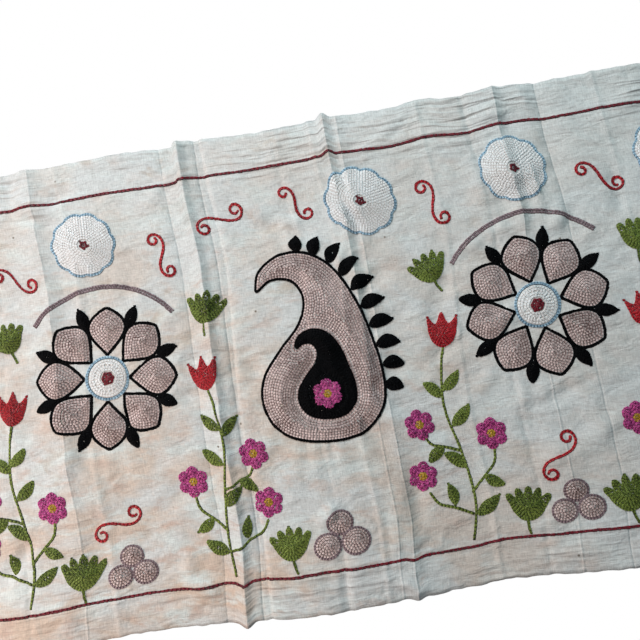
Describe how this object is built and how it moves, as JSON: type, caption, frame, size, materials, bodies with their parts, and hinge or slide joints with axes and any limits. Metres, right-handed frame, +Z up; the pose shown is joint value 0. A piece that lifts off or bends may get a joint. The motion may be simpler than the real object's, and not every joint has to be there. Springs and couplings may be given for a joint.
{
  "type": "suzani wall hanging",
  "caption": "Long low strip of hand-loomed cotton, hung by its top edge, chain-stitched with botehs, rosettes, leaves and flowers between two red lines.",
  "frame": {"origin": "middle of the top edge, where the wall holds the strip", "axes": "+X along the strip to the right of its face, +Z up, face towards -Y"},
  "size_m": [1.0068, 0.0162, 0.4562],
  "materials": {
    "cotton": "plain-woven off-white cotton, matt, with chain-stitched thread"
  },
  "bodies": {
    "root": {"cloth": "cotton"}
  },
  "joints": []
}
